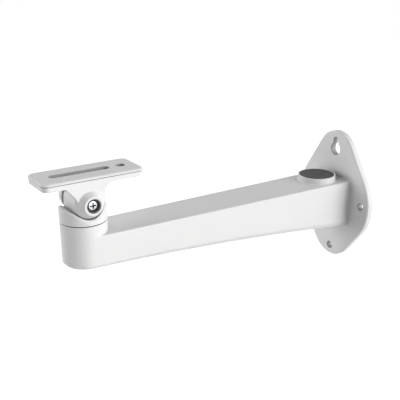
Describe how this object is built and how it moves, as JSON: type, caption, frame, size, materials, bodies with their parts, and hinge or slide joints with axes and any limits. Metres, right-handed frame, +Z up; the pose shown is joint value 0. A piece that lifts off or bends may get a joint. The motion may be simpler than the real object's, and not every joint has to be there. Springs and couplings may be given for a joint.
{
  "type": "camera wall bracket",
  "caption": "Long cast wall arm with a hollow cable way and a swivelling, tilting slotted platform for a camera.",
  "frame": {"origin": "on the back face of the wall plate, halfway between its two side screw holes", "axes": "+Z up, +Y into the wall, +X to the right as seen from the room; the arm reaches along -Y"},
  "size_m": [0.097, 0.3072, 0.1305],
  "materials": {
    "coated_casting": "smooth white powder coat",
    "plug_rubber": "matt dark grey",
    "friction_plastic": "matt dark grey",
    "plated_steel": "bright zinc plate"
  },
  "bodies": {
    "arm": {"wall_arm": "coated_casting", "cable_plug": "plug_rubber"},
    "swivel": {"swivel_base": "coated_casting", "pan_friction_ring": "friction_plastic", "pan_washer": "plated_steel", "pan_spring_washer": "plated_steel", "pan_screw": "plated_steel"},
    "head": {"tilt_head": "coated_casting", "tilt_friction_washers": "friction_plastic", "tilt_screw_cup": "friction_plastic", "tilt_screw": "plated_steel", "tilt_spring_washer": "plated_steel", "tilt_nut": "plated_steel"}
  },
  "joints": [
    {"name": "pan", "type": "hinge", "parent": "arm", "child": "swivel", "pos_m": [0, -0.27, 0.0304], "axis": [0, 0, 1], "continuous": true},
    {"name": "tilt", "type": "hinge", "parent": "swivel", "child": "head", "pos_m": [0, -0.27, 0.048], "axis": [1, 0, 0], "range_deg": [-50, 55]}
  ]
}
